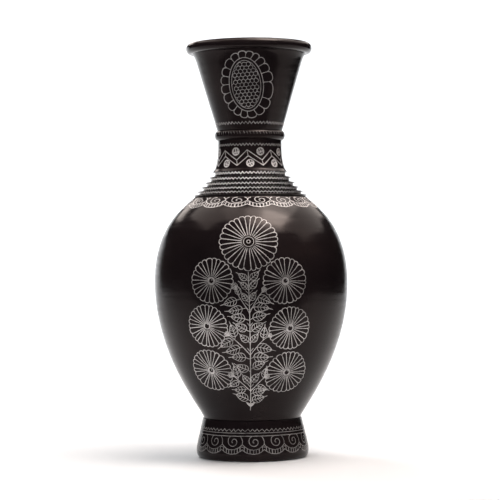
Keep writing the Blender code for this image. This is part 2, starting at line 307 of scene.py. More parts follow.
def clay_sections():
    """Every clay section as (name, CAD node, outline). Neighbours meet edge to edge on the outside."""
    upper_inner, lower_inner = body_inner()
    cone_inner = bezier((BORE_BOTTOM, 214.0), (21.0, 204.0), (27.0, 196.5), SHOULDER_INNER, 16)
    bore_inner = np.array([(BORE_BOTTOM, NECK_BASE[1]), (BORE_RADIUS, 219.0), (BORE_RADIUS, 240.0)])
    flare_inner = (MOUTH_FLARE[0] - MOUTH_WALL, MOUTH_FLARE[1])
    throat = (BORE_RADIUS, NECK_JOINT + TONGUE)
    mouth_inner = chain(
        (MOUTH_EDGE[0] - MOUTH_WALL + 0.6, MOUTH_EDGE[1] + TONGUE + 0.5),
        bezier(flare_inner, (27.5, 264.0), (19.6, 247.0), throat, 20),
    )

    belly_side = BELLY[0] - WALL / 2
    belly = joint(BELLY[0], BELLY[0] - WALL, BELLY[1], belly_side)
    shoulder = joint(SHOULDER[0], 33.0, SHOULDER[1], 37.8)
    neck_seat = joint(NECK_BASE[0], radius_on(cone_inner, NECK_BASE[1] + TONGUE), NECK_BASE[1], 22.6)
    neck_top = joint(BEAD_SEAT, BORE_RADIUS, NECK_JOINT, 20.3)
    mouth_top = joint(MOUTH_EDGE[0], radius_on(mouth_inner, MOUTH_EDGE[1] + TONGUE), MOUTH_EDGE[1], 38.4)

    floor_top = top_of("base_disc")
    floor_low = foot_of("base_disc")
    foot_inner = [
        (REST_RADIUS, 0.0), (34.2, 0.0), (33.2, 1.0), (29.0, 17.0), (FOOT_HOLLOW, 19.0),
        (FOOT_HOLLOW, floor_low), (FLOOR_RADIUS, floor_low), (FLOOR_RADIUS, FOOT_TOP[1]),
    ]
    yield "foot_ring_clay", "foot_ring", chain(FOOT_OUTER, foot_inner)
    yield "lower_body_clay", "lower_body", chain(
        LOWER_OUTER, (FLOOR_RADIUS, BODY_BOTTOM[1]), lower_inner[::-1], belly[::-1][:-1]
    )
    yield "upper_body_clay", "upper_body", chain(
        UPPER_OUTER, belly[1:],
        down(upper_inner, BELLY[1] + TONGUE, SHOULDER[1])[::-1], shoulder[::-1][:-1],
    )
    yield "stepped_shoulder_clay", "stepped_shoulder", chain(
        SHOULDER_OUTER, shoulder[1:], down(cone_inner, SHOULDER[1] + TONGUE, NECK_BASE[1] + TONGUE)[::-1],
        neck_seat[::-1][:-1],
    )
    yield "neck_clay", "neck", chain(
        [(BEAD_SEAT, BEAD_BOTTOM)], NECK_OUTER, neck_seat[1:],
        down(bore_inner, NECK_BASE[1] + TONGUE, NECK_JOINT)[::-1], neck_top[::-1],
    )
    yield "collar_bead_clay", "collar_bead", chain(
        BEAD_OUTER, [(BEAD_SEAT, BEAD_BOTTOM), (BEAD_SEAT, BEAD_TOP)]
    )
    yield "mouth_funnel_clay", "mouth_funnel", chain(
        MOUTH_OUTER, [(BEAD_SEAT, BEAD_TOP)], neck_top,
        down(mouth_inner, NECK_JOINT + TONGUE, MOUTH_EDGE[1] + TONGUE)[::-1], mouth_top[::-1][:-1],
    )
    yield "rim_roll_clay", "rim_roll", chain(ROLL_OUTER, mouth_top)
    yield "base_disc_clay", "base_disc", chain(
        [(0.2, floor_top - 1.5), (FLOOR_RADIUS - 9.0, floor_top - 1.0), (FLOOR_RADIUS - 1.5, floor_top),
         (FLOOR_RADIUS, floor_top - 1.2), (FLOOR_RADIUS, floor_low), (0.2, floor_low)]
    )


# ---------------------------------------------------------------- silver lines

LINE_WIDTH = 0.62
FILLED_SHARE = 0.86
LINE_PROUD = 0.035
LINE_SUNK = 0.12
LINE_STEP = 1.1
UNEVEN_LINES = 0.12
UNEVEN_POINTS = 0.07
LINE_END = 0.6
SHARPEST_CORNER = 0.62
TINY = 1e-9

BODY = Meridian(np.concatenate([UPPER_OUTER, LOWER_OUTER[1:]]))
FOOT = Meridian(down(FOOT_OUTER, 0.3, FOOT_TOP[1]))
NECK = Meridian(NECK_OUTER)
BEAD = Meridian(BEAD_OUTER)
MOUTH = Meridian(MOUTH_OUTER)


def units(vectors):
    """Vectors cut to a length of one."""
    return vectors / (np.linalg.norm(vectors, axis=1, keepdims=True) + TINY)


class Inlay:
    """Silver lines gathered into one piece: strips let into the clay, each a closed solid."""

    def __init__(self, name, meridian):
        self.name = name
        self.meridian = meridian
        self.verts = []
        self.faces = []
        self.count = 0

    def line(self, turn, height, width=LINE_WIDTH, closed=False, taper=True):
        """A line through points given by angle and height, pressed at a slightly uneven width."""
        turn = np.asarray(turn, float)
        height = np.asarray(height, float)
        points = self.meridian.point(turn, height)
        normals = self.meridian.normal(turn, height)
        count = len(points)
        if closed:
            ahead = np.roll(points, -1, axis=0) - points
            behind = points - np.roll(points, 1, axis=0)
        else:
            gaps = np.diff(points, axis=0)
            ahead = np.concatenate([gaps, gaps[-1:]])
            behind = np.concatenate([gaps[:1], gaps])
        ahead = units(ahead)
        along = units(ahead + units(behind))
        across = units(np.cross(normals, along))
        corner = np.clip(np.einsum("ij,ij->i", along, ahead), SHARPEST_CORNER, 1.0)
        width *= FILLED_SHARE
        uneven = 1 + UNEVEN_LINES * RNG.standard_normal()
        spread = width * uneven * (1 + UNEVEN_POINTS * RNG.standard_normal(count))
        if taper and not closed:
            spread[[0, -1]] *= LINE_END
        half = (np.clip(spread, 0.4 * width, 1.5 * width) / corner / 2)[:, None] * across
        proud = normals * LINE_PROUD
        sunk = normals * LINE_SUNK
        ring = np.stack([points - half - sunk, points - 0.8 * half + proud,
                         points + 0.8 * half + proud, points + half - sunk], 1)
        self.verts.append(ring.reshape(-1, 3) * MM)
        base = self.count
        last = count if closed else count - 1
        for i in range(last):
            here = base + 4 * i
            there = base + 4 * ((i + 1) % count)
            for k in range(4):
                after = (k + 1) % 4
                self.faces.append((here + k, here + after, there + after, there + k))
        if not closed:
            self.faces.append((base + 3, base + 2, base + 1, base))
            end = base + 4 * (count - 1)
            self.faces.append((end, end + 1, end + 2, end + 3))
        self.count += 4 * count

    def finish(self, material):
        piece = mesh_object(self.name, np.concatenate(self.verts), self.faces, 50)
        piece.data.materials.append(material)
        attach(piece, "root")
        return piece


def finer(points, step=LINE_STEP):
    """A polyline with points added so that none lie further apart than one step."""
    points = np.asarray(points, float)
    result = [points[:1]]
    for start, end in zip(points, points[1:]):
        pieces = max(1, int(math.ceil(np.linalg.norm(end - start) / step)))
        share = np.arange(1, pieces + 1)[:, None] / pieces
        result.append(start + (end - start) * share)
    return np.concatenate(result)


def smooth_line(points, per_leg=4):
    """A Catmull-Rom curve through a few given points."""
    points = np.asarray(points, float)
    padded = np.concatenate([[2 * points[0] - points[1]], points, [2 * points[-1] - points[-2]]])
    result = [points[:1]]
    for i in range(1, len(padded) - 2):
        p0, p1, p2, p3 = padded[i - 1 : i + 3]
        t = (np.arange(1, per_leg + 1) / per_leg)[:, None]
        result.append(
            0.5 * (2 * p1 + (p2 - p0) * t + (2 * p0 - 5 * p1 + 4 * p2 - p3) * t**2
                   + (3 * p1 - p0 - 3 * p2 + p3) * t**3)
        )
    return np.concatenate(result)


class Patch:
    """A flat drawing laid on the surface: across and up, in millimetres from a centre."""

    def __init__(self, inlay, turn_degrees, height):
        self.inlay = inlay
        self.turn = math.radians(turn_degrees)
        self.length = float(inlay.meridian.length_at(height))

    def draw(self, points, width=LINE_WIDTH, closed=False, taper=True):
        points = np.asarray(points, float)
        if closed:
            points = finer(np.concatenate([points, points[:1]]))[:-1]
        else:
            points = finer(points)
        height = self.inlay.meridian.height_at(self.length + points[:, 1])
        turn = self.turn + points[:, 0] / self.inlay.meridian.radius_at(height)
        self.inlay.line(turn, height, width, closed, taper)


class Elevation:
    """A drawing seen square on from the front or the back: across and height, in millimetres."""

    def __init__(self, inlay, turn_degrees):
        self.inlay = inlay
        self.turn = math.radians(turn_degrees)

    def draw(self, points, width=LINE_WIDTH, closed=False, taper=True):
        points = finer(points)
        radius = self.inlay.meridian.radius_at(points[:, 1])
        turn = self.turn + np.arcsin(np.clip(points[:, 0] / radius, -0.98, 0.98))
        self.inlay.line(turn, points[:, 1], width, closed, taper)


def jitter(scale, *shape):
    return RNG.normal(0.0, scale, shape)


def circle(radius, count=16, squash=1.0, centre=(0.0, 0.0), start=0.0):
    turn = start + around(count)
    return np.stack([centre[0] + radius * np.cos(turn), centre[1] + radius * squash * np.sin(turn)], 1)


# ---------------------------------------------------------------- bands round the vase

RING_POINTS = 220


def build_zigzag(name, meridian, material, height, swing, teeth, width):
    """A scratched zigzag all the way round, as a piece of its own."""
    inlay = Inlay(name, meridian)
    count = 2 * teeth
    turn = around(count) + jitter(0.12 * TAU / count, count)
    offset = np.where(np.arange(count) % 2 == 0, 0.5, -0.5) * swing
    inlay.line(turn, height + offset + jitter(0.06 * swing, count), width, closed=True)
    inlay.finish(material)


def ring_line(inlay, height, width):
    """A plain line all the way round."""
    turn = around(RING_POINTS)
    inlay.line(turn, height + 0.08 * np.sin(3 * turn) + jitter(0.02, RING_POINTS), width, closed=True)


# A curl that hangs from the top line and turns in on itself: (degrees, share of its size).
CURL = (
    (129, 1.0), (170, 0.86), (215, 0.77), (264, 0.72), (310, 0.70), (353, 0.67), (390, 0.60), (423, 0.50),
    (455, 0.36), (490, 0.23), (540, 0.20), (600, 0.16), (646, 0.13),
)
CURL_STEP = 18.0
SCALLOP_BEADS = 7
BEAD_REACH = 0.82


def curl_line(size, tall):
    """A curl round its own centre, squashed or stretched upright by the factor tall."""
    turns, shares = np.array(CURL).T
    turn = np.arange(turns[0], turns[-1] + 1, CURL_STEP)
    share = np.interp(turn, turns, shares)
    turn = np.radians(turn)
    return np.stack([size * share * np.cos(turn), tall * size * share * np.sin(turn)], 1)


def scallop_band(inlay, count, first_cusp, levels, curl, hooks, fine):
    """Hanging scallops with a beaded double edge and a curl in each, in lines of one fine width.

    The levels are the heights of the top, the inner edge's cusp and belly, and the outer edge's.
    The curl is its size, its height for its width, its centre's level, and how far aside it starts
    for its size. Each hook runs from a cusp to the top line, that far across.
    """
    top, inner_cusp, inner_belly, outer_cusp, outer_belly = levels
    size, tall, curl_height, lead_share = curl
    pitch = 360.0 / count
    reference = float(inlay.meridian.radius_at((inner_cusp + outer_belly) / 2))
    half = math.radians(pitch) * reference / 2

    def draw(centre, points, width):
        places = finer(points)
        inlay.line(math.radians(centre) + places[:, 0] / reference, places[:, 1], width, taper=False)

    def along(edge, at):
        return np.interp(at, share, edge[:, 0]), np.interp(at, share, edge[:, 1])

    share = np.linspace(-1.0, 1.0, 21)
    bow = 1.0 - np.abs(share) ** 2.2
    for i in range(count):
        centre = first_cusp + (i + 0.5) * pitch
        inner = np.stack([share * half, inner_cusp + (inner_belly - inner_cusp) * bow], 1)
        outer = np.stack([share * half, outer_cusp + (outer_belly - outer_cusp) * bow], 1)
        inner[1:-1] += jitter(0.06, len(share) - 2, 2)
        outer[1:-1] += jitter(0.08, len(share) - 2, 2)
        draw(centre, inner, fine)
        draw(centre, outer, fine)
        for at in np.linspace(-BEAD_REACH, BEAD_REACH, SCALLOP_BEADS) + jitter(0.014, SCALLOP_BEADS):
            draw(centre, [along(inner, at), along(outer, 0.985 * at)], 1.15 * fine)
        middle = (inner_cusp + outer_cusp) / 2
        draw(centre, [(half - 0.75, middle + 0.1), (half + 0.75, middle - 0.1)], 0.6)
        fall = inner_cusp - top
        for hook in hooks:
            start = [(half + hook, top), (half + 0.35 * hook, top + 0.25 * fall)]
            end = [(half - math.copysign(0.1, hook), top + 0.62 * fall), (half, inner_cusp)]
            draw(centre, start + end, 0.8 * fine + 0.1)
        tail = curl_line(size * (1 + RNG.normal(0, 0.05)), tall)
        tail += (0.9 + RNG.normal(0, 0.25), curl_height + RNG.normal(0, 0.12))
        lead = np.array([(tail[0, 0] + lead_share * size, top)])
        draw(centre, smooth_line(np.concatenate([lead, tail]), 2), 0.75 * fine + 0.15)


def chevron_band(inlay):
    """A double chevron round the neck with a hatched disc in each bay."""
    repeats = 8
    pitch = 360.0 / repeats
    lean = 0.59
    high, low, gap = 221.7, 214.4, 5.0
    first_peak = -5.0
    for shift, drop in ((0.0, 0.0), (2.0, gap - 1.2)):
        turn = []
        height = []
        for i in range(repeats):
            peak = first_peak + i * pitch + shift
            turn += [peak, peak + lean * pitch - 0.3 * shift]
            height += [high - drop * 1.12, low - drop]
        turn.append(turn[0] + 360.0)
        height.append(height[0])
        places = finer(np.stack([np.radians(turn) * NECK_WAIST, height], 1), 0.9)[:-1]
        inlay.line(places[:, 0] / NECK_WAIST, places[:, 1], 0.66, closed=True)
    for i in range(repeats):
        peak = first_peak + i * pitch
        valley = peak + lean * pitch
        for at, top, bottom in ((peak, high, high - 4.9), (valley, low, low - 3.9)):
            turns = np.radians([at, at + 0.9, at + 1.9])
            inlay.line(turns, [top, (top + bottom) / 2, bottom], 0.5)
        hatched_disc(inlay, valley - 3.0 + RNG.normal(0, 1.0), 220.6)
        hatched_disc(inlay, peak + 5.6 + RNG.normal(0, 1.0), 212.2)


def hatched_disc(inlay, turn_degrees, height):
    """A small disc rubbed nearly full of silver, with a few dark slits left in it."""
    patch = Patch(inlay, turn_degrees, height)
    lean = RNG.uniform(-0.5, 0.5)
    across = np.array([math.cos(lean), math.sin(lean)])
    upright = np.array([-across[1], across[0]])
    patch.draw(circle(2.55, 18), 0.95, closed=True)
    for offset, reach, width in ((-1.45, 1.6, 0.62), (0.0, 2.3, 0.85), (1.45, 1.6, 0.62)):
        middle = offset * across
        patch.draw([middle - reach * upright, middle + reach * upright], width, taper=False)
    level = RNG.uniform(-0.7, 0.2)
    patch.draw([level * upright - 2.4 * across, level * upright + 2.4 * across], 0.8, taper=False)


# ---------------------------------------------------------------- flowers, leaves and medallion

SMALL_EYE = 2.1
PETAL_LINE = 0.66


def flower(inlay, turn_degrees, height, radius, petals, eye=SMALL_EYE):
    """A round flower of narrow petals with rounded ends, and a ringed eye.

    A small eye is a thick ring with a slipped second ring and a dot, and a large one holds a small ring.
    """
    patch = Patch(inlay, turn_degrees, height)
    hub = eye + 0.4
    start = RNG.uniform(0.0, TAU)
    turn = start + around(petals) + jitter(0.10 * TAU / petals, petals)
    reach = radius * (0.90 + jitter(0.012, petals))
    for k in range(petals):
        bend = RNG.normal(0.0, 0.015)
        share = np.linspace(hub / radius + 0.03, reach[k] / radius, 8)
        angle = turn[k] + bend * np.sin(math.pi * share)
        side = radius * np.stack([share * np.cos(angle), share * np.sin(angle)], 1)
        patch.draw(side, PETAL_LINE)
        after = (k + 1) % petals
        next_turn = turn[after] + (TAU if after == 0 else 0.0)
        t = np.linspace(0.0, 1.0, 9)
        cap_turn = turn[k] + (next_turn - turn[k]) * t
        rise = 0.095 * radius * np.sqrt(np.clip(1.0 - np.abs(2 * t - 1) ** 2.4, 0.0, 1.0))
        cap_reach = reach[k] + (reach[after] - reach[k]) * t + rise
        cap = np.stack([cap_reach * np.cos(cap_turn), cap_reach * np.sin(cap_turn)], 1)
        patch.draw(cap, PETAL_LINE, taper=False)
    if eye > SMALL_EYE:
        patch.draw(circle(eye, 22), 0.55, closed=True)
        patch.draw(circle(1.2, 14, centre=jitter(0.1, 2)), 0.65, closed=True)
    else:
        patch.draw(circle(eye, 22), 1.25, closed=True)
        nudge = jitter(0.4, 2)
        patch.draw(circle(eye + 0.5, 14, centre=0.5 * nudge), 0.7, closed=True)
        patch.draw([nudge + (0.5, 0.6), nudge + (0.9, 1.3)], 0.9, taper=False)


def leaf(sheet, base, tip, fat=0.54):
    """A leaf with a round base and a long point, a midrib and hatched halves."""
    base = np.array(base, float)
    along = np.array(tip, float) - base
    size = np.linalg.norm(along)
    side = np.array([-along[1], along[0]])
    bend = RNG.uniform(-0.05, 0.05)

    def place(forward, aside):
        forward = np.asarray(forward, float)
        aside = np.asarray(aside, float) + bend * np.sin(math.pi * forward)
        return base + forward[..., None] * along + aside[..., None] * side

    t = np.linspace(0.0, 1.0, 15)
    width = 0.5 * fat * np.sin(math.pi * t**0.78) ** 0.75 * (1.0 - 0.25 * t)
    for hand in (1.0, -1.0):
        sheet.draw(place(0.78 * t, hand * width), 0.58, taper=False)
    sheet.draw(place(np.array((0.76, 1.0)), np.zeros(2)), 0.66)
    sheet.draw(place(np.array((0.02, 0.4, 0.74)), np.zeros(3)), 0.5)
    strokes = max(3, int(round(size / 3.1)))
    for k in range(strokes):
        at = 0.10 + 0.60 * (k + RNG.uniform(0.35, 0.65)) / strokes
        reach = float(np.interp(min(at + 0.1, 0.76) / 0.78, t, width)) * 0.9
        for hand in (1.0, -1.0):
            stroke = place(np.array((at, min(at + 0.13, 0.77))), np.array((0.0, hand * reach)))
            sheet.draw(stroke, 0.44, taper=False)


def stalk(sheet, base, lines):
    """A short stalk from a leaf down to the nearest stem."""
    base = np.array(base, float)
    nearest = lines[np.argmin(np.linalg.norm(lines - (base - (0.0, 1.1)), axis=1))]
    sheet.draw([base, (base + nearest) / 2 + (0.0, -0.15), nearest], 0.5, taper=False)


def bud(sheet, base, tip):
    """A small hatched bud where a branch meets a flower."""
    base = np.array(base, float)
    along = np.array(tip, float) - base
    side = np.array([-along[1], along[0]])
    for spread in (-0.42, -0.2, 0.0, 0.2, 0.42):
        sheet.draw([base, base + 0.55 * along + spread * side, base + along + 0.6 * spread * side], 0.6)
    sheet.draw([base + 0.5 * along - 0.4 * side, base + 0.5 * along + 0.4 * side], 0.6)


# Flowers of the bouquet: (degrees from the panel's middle, height, radius, petals, and the top one's eye).
FLOWERS = (
    (-1.3, 155.7, 20.7, 29, 3.6),
    (-23.2, 128.8, 15.9, 25),
    (19.9, 128.3, 16.2, 25),
    (-27.7, 97.2, 15.3, 26),
    (24.0, 95.2, 15.5, 26),
    (-30.7, 65.7, 15.9, 26),
    (26.2, 63.8, 16.0, 26),
)

# Leaves in the panel's elevation: (base across, base height, tip across, tip height).
LEAVES = (
    (-10.1, 115.4, -21.6, 111.5), (-6.2, 109.3, -18.6, 107.6), (-4.5, 102.2, -16.8, 104.1),
    (-3.5, 94.4, -13.1, 99.9), (-2.3, 86.4, -9.3, 92.6), (-11.2, 89.9, -15.4, 100.5),
    (-13.3, 87.4, -23.7, 81.0), (-8.3, 82.0, -20.8, 78.4), (-4.1, 74.9, -16.4, 75.1),
    (-2.5, 66.0, -12.7, 70.9), (-1.9, 57.0, -7.5, 63.9), (-9.5, 61.0, -13.8, 71.3),
    (-9.3, 57.6, -17.1, 53.2), (-4.6, 52.1, -14.3, 51.9), (-3.0, 44.7, -13.7, 49.1),
    (-3.1, 114.9, -7.6, 121.6), (-3.0, 123.2, -9.1, 128.5), (-3.0, 129.4, -10.4, 134.6),
    (-8.3, 119.2, -11.8, 127.1),
    (-0.4, 115.1, 4.3, 122.2), (-0.4, 123.4, 5.9, 130.3), (-0.4, 129.6, 6.5, 136.4),
    (4.7, 117.4, 15.7, 112.3), (1.8, 110.5, 15.0, 108.5), (0.9, 102.8, 13.1, 105.7),
    (0.4, 94.0, 10.3, 100.3), (0.0, 86.2, 5.4, 93.4), (7.9, 88.9, 9.4, 98.7),
    (3.7, 82.5, 16.9, 79.4), (1.3, 75.4, 14.8, 75.5), (0.8, 67.7, 11.5, 72.6),
    (0.0, 57.7, 6.4, 64.9), (8.4, 60.4, 10.5, 69.0), (4.2, 54.6, 12.2, 51.2),
    (0.6, 49.6, 11.2, 52.4), (0.0, 44.0, 10.8, 47.3),
)

# Branches that leave the stem in pairs, from the stem outward.
BRANCHES = (
    ((-1.1, 50.9), (-5.4, 55.0), (-9.5, 58.8), (-12.9, 61.9)),
    ((-1.1, 50.9), (2.6, 54.6), (6.0, 58.2), (9.0, 61.0)),
    ((-1.0, 76.8), (-5.4, 81.6), (-11.2, 87.2), (-15.8, 91.0)),
    ((-1.0, 76.8), (3.0, 81.8), (8.0, 87.2), (12.0, 90.0)),
    ((-1.3, 106.0), (-3.6, 110.2), (-8.6, 118.0), (-11.0, 124.4)),
    ((-1.3, 106.0), (1.0, 110.6), (5.2, 118.0), (8.5, 121.6)),
)
BUDS = (
    ((-12.4, 61.4), (-16.6, 63.4)),
    ((8.6, 60.6), (12.0, 62.4)),
    ((-15.0, 90.4), (-18.6, 92.6)),
    ((11.2, 89.4), (14.2, 91.2)),
    ((-10.2, 122.0), (-12.6, 127.0)),
    ((7.4, 120.4), (10.0, 124.0)),
)
# Pairs of short side shoots on the stem: (height, reach).
SPRIGS = (
    (109.4, 2.6), (112.4, 3.0), (117.8, 2.6), (121.0, 2.8),
    (126.4, 2.6), (98.4, 2.0), (80.6, 2.2), (55.0, 2.2),
)
STEM = (
    (-1.4, 36.6), (-1.1, 41.4), (-1.0, 60.0), (-1.0, 80.0), (-1.2, 104.0), (-1.6, 120.0), (-1.9, 135.0),
)


def bouquet(inlay, turn_degrees):
    """The panel: seven flowers round an upright stem with leaves on both sides."""
    for turn, height, *shape in FLOWERS:
        flower(inlay, turn_degrees + turn, height, *shape)
    sheet = Elevation(inlay, turn_degrees)
    sheet.draw(smooth_line(STEM, 6), 0.78)
    for branch in BRANCHES:
        sheet.draw(smooth_line(branch), 0.7)
    for base, tip in BUDS:
        bud(sheet, base, tip)
    lines = np.concatenate([finer(smooth_line(line), 0.4) for line in (STEM, *BRANCHES)])
    for base_x, base_z, tip_x, tip_z in LEAVES:
        leaf(sheet, (base_x, base_z), (tip_x, tip_z))
        stalk(sheet, (base_x, base_z), lines)
    stem_across, stem_heights = np.array(STEM).T
    for height, size in SPRIGS:
        stem_x = float(np.interp(height, stem_heights, stem_across))
        for hand in (-1.0, 1.0):
            sheet.draw([(stem_x, height - 1.4), (stem_x + hand * size, height + 1.2)], 0.45)
    for spread in (-1.0, -0.5, 0.0, 0.5, 1.0):
        sheet.draw([(-1.1 + 3.0 * spread, 41.9 + 0.5 * abs(spread)), (-1.1 + 0.5 * spread, 39.6)], 0.85)
    sheet.draw([(-4.2, 42.6), (-1.1, 41.2), (2.0, 42.6)], 0.8)


# Where the medallion's petals meet, in degrees round it from the right-hand side.
PETAL_JOINTS = (2, 21, 38, 53, 67, 84, 103, 122, 143, 160, 176, 193, 212, 230, 247, 264, 286, 307, 329)
COMB_COLUMN = 3.0
COMB_ROW = 2.42


def medallion(inlay, turn_degrees, height):
    """An oval of honeycomb in a ring, leaning a little, with a frill of rounded petals round it."""
    patch = Patch(inlay, turn_degrees, height)
    lean = math.radians(4.5)
    comb = np.array((10.5, 17.4))
    ring = np.array((12.5, 19.4))
    frill = np.array((19.8, 24.4))

    def draw(points, width, closed=False, taper=True):
        points = np.asarray(points, float)
        turned = np.stack([points[:, 0] * math.cos(lean) - points[:, 1] * math.sin(lean),
                           points[:, 0] * math.sin(lean) + points[:, 1] * math.cos(lean)], 1)
        patch.draw(turned, width, closed, taper)

    turn = around(56)
    pinch = 1.0 - 0.07 * np.clip(-np.sin(turn), 0, 1) * np.abs(np.sin(turn))
    for size, width in ((comb, 0.5), (ring, 0.66)):
        draw(np.stack([size[0] * np.cos(turn) * pinch, size[1] * np.sin(turn)], 1), width, closed=True)

    corners = {}

    def corner(i, j, side):
        """A shared corner of the comb, a little off its place."""
        key = (i, j, side)
        if key not in corners:
            across = (i + 0.5 * (j % 2)) * COMB_COLUMN + (0.5 * COMB_COLUMN if side else 0.0)
            up = (j + (1 / 3 if side else 2 / 3)) * COMB_ROW
            corners[key] = np.array((across, up)) + jitter(0.13, 2)
        return corners[key]

    def inside(point):
        return (point[0] / (comb[0] - 0.1)) ** 2 + (point[1] / (comb[1] - 0.1)) ** 2 < 1.0

    reach_x = int(comb[0] / COMB_COLUMN) + 2
    reach_y = int(comb[1] / COMB_ROW) + 2
    for j in range(-reach_y, reach_y):
        run = []
        for i in range(-reach_x, reach_x + 1):
            for side in (0, 1):
                here = corner(i, j, side)
                if inside(here):
                    run.append(here)
        if len(run) > 1:
            draw(run, 0.5, taper=False)
        for i in range(-reach_x, reach_x + 1):
            top = corner(i, j, 1)
            below = corner(i + 1 - (j + 1) % 2, j - 1, 0)
            if inside(top) and inside(below):
                draw([top, below], 0.5, taper=False)

    t = np.linspace(0.0, 1.0, 15)
    joints = np.radians([*PETAL_JOINTS, PETAL_JOINTS[0] + 360])
    for here, there in zip(joints, joints[1:]):
        angle = here + (there - here) * t
        swell = np.clip(1.0 - np.abs(2 * t - 1) ** 2.4, 0.0, 1.0) ** 0.5
        reach = 0.60 + (0.40 + RNG.normal(0, 0.02)) * swell
        out = ring + (frill - ring) * reach[:, None]
        rim = np.stack([out[:, 0] * np.cos(angle) + 0.5, out[:, 1] * np.sin(angle)], 1)
        draw(rim, 0.74, taper=False)
        draw([(ring[0] * math.cos(here), ring[1] * math.sin(here)), rim[0]], 0.6, taper=False)


# ---------------------------------------------------------------- materials

def feed(tree, node, inputs):
    """Give a node's inputs, by name or number, other nodes' outputs or constants."""
    for key, value in inputs.items():
        socket = node.inputs[key]
        if isinstance(value, bpy.types.NodeSocket):
            tree.links.new(value, socket)
        else:
            socket.default_value = (*value, 1.0) if socket.type == "RGBA" else value


def add(tree, kind, inputs, **settings):
    """A new node with its settings and inputs."""
    node = tree.nodes.new(kind)
    for key, value in settings.items():
        setattr(node, key, value)
    feed(tree, node, inputs)
    return node


def new_material(name):
    """A material with its tree, its shader and the place of a point in metres."""
    material = bpy.data.materials.new(name)
    material.use_nodes = True
    tree = material.node_tree
    place = add(tree, "ShaderNodeTexCoord", {}).outputs["Object"]
    return material, tree, tree.nodes["Principled BSDF"], place


def height_of(tree, place):
    return add(tree, "ShaderNodeSeparateXYZ", {"Vector": place}).outputs["Z"]


def noise(tree, source, scale, detail=4.0, stretch=(1.0, 1.0, 1.0), roughness=0.5):
    """Noise in a piece's own space, drawn out where the potter's strokes run."""
    mapping = add(tree, "ShaderNodeMapping", {"Vector": source, "Scale": stretch})
    place = mapping.outputs["Vector"]
    inputs = {"Vector": place, "Scale": scale, "Detail": detail, "Roughness": roughness}
    return add(tree, "ShaderNodeTexNoise", inputs).outputs["Fac"]


def ramp(tree, source, *stops):
    """A colour ramp with stops of (position, colour)."""
    node = add(tree, "ShaderNodeValToRGB", {"Fac": source})
    elements = node.color_ramp.elements
    while len(elements) < len(stops):
        elements.new(0.5)
    for element, (position, colour) in zip(elements, stops):
        element.position = position
        element.color = (*colour, 1.0)
    return node.outputs["Color"]


def remap(tree, source, low, high, to_low, to_high):
    """A value carried from one range to another and kept inside it."""
    inputs = {"Value": source, "From Min": low, "From Max": high, "To Min": to_low, "To Max": to_high}
    return add(tree, "ShaderNodeMapRange", inputs).outputs["Result"]


def math_node(tree, operation, first, second):
    return add(tree, "ShaderNodeMath", {0: first, 1: second}, operation=operation).outputs["Value"]


def mix_colour(tree, factor, first, second, blend="MIX"):
    inputs = {"Factor": factor, 6: first, 7: second}
    return add(tree, "ShaderNodeMix", inputs, data_type="RGBA", blend_type=blend).outputs[2]


def bump(tree, *layers):
    """Bump layers of (height, strength, distance in metres), one on the other."""
    under = {}
    for height, strength, distance in layers:
        inputs = {"Height": height, "Strength": strength, "Distance": distance, **under}
        under = {"Normal": add(tree, "ShaderNodeBump", inputs).outputs["Normal"]}
    return under["Normal"]


def burnished_clay():
    """Smoke-fired clay rubbed to a soft shine, with stroke marks, pits and worn edges."""
    material, tree, shader, place = new_material("burnished_black_clay")
    cloud = noise(tree, place, 22.0, 5.0)
    strokes = noise(tree, place, 30.0, 6.0, (1.0, 1.0, 16.0), 0.6)
    grain = noise(tree, place, 900.0, 3.0)

    spots = add(tree, "ShaderNodeTexVoronoi", {"Vector": place, "Scale": 95.0})
    speck = remap(tree, spots.outputs["Distance"], 0.07, 0.02, 0.0, 1.0)
    chance = math_node(tree, "GREATER_THAN", noise(tree, place, 60.0, 1.0), 0.56)
    speck = math_node(tree, "MULTIPLY", speck, chance)

    height = height_of(tree, place)
    rim = remap(tree, height, (HEIGHT - 1.4) * MM, (HEIGHT - 0.2) * MM, 0.0, 0.4)
    heel = remap(tree, height, 1.6 * MM, 0.3 * MM, 0.0, 0.6)
    rubbed = remap(tree, noise(tree, place, 140.0, 4.0), 0.4, 0.6, 0.15, 0.8)
    worn = math_node(tree, "MULTIPLY", math_node(tree, "MAXIMUM", rim, heel), rubbed)

    deep, plain, pale = (0.0034, 0.0024, 0.0027), (0.0052, 0.0036, 0.0039), (0.0084, 0.0056, 0.0053)
    colour = ramp(tree, cloud, (0.30, deep), (0.55, plain), (0.78, pale))
    colour = mix_colour(tree, worn, colour, (0.045, 0.034, 0.030))
    colour = mix_colour(tree, speck, colour, (0.004, 0.003, 0.003))

    gloss = remap(tree, strokes, 0.28, 0.72, 0.09, 0.23)
    gloss = math_node(tree, "ADD", gloss, remap(tree, cloud, 0.3, 0.8, 0.0, 0.06))
    gloss = math_node(tree, "ADD", gloss, math_node(tree, "MULTIPLY", speck, 0.3))
    relief = bump(tree, (strokes, 0.20, 0.0002), (grain, 0.08, 0.00005), (speck, -0.5, 0.0003))
    feed(tree, shader, {
        "Base Color": colour, "Roughness": gloss, "IOR": 1.25,
        "Specular Tint": (1.0, 0.88, 0.83), "Normal": relief,
    })
    return material


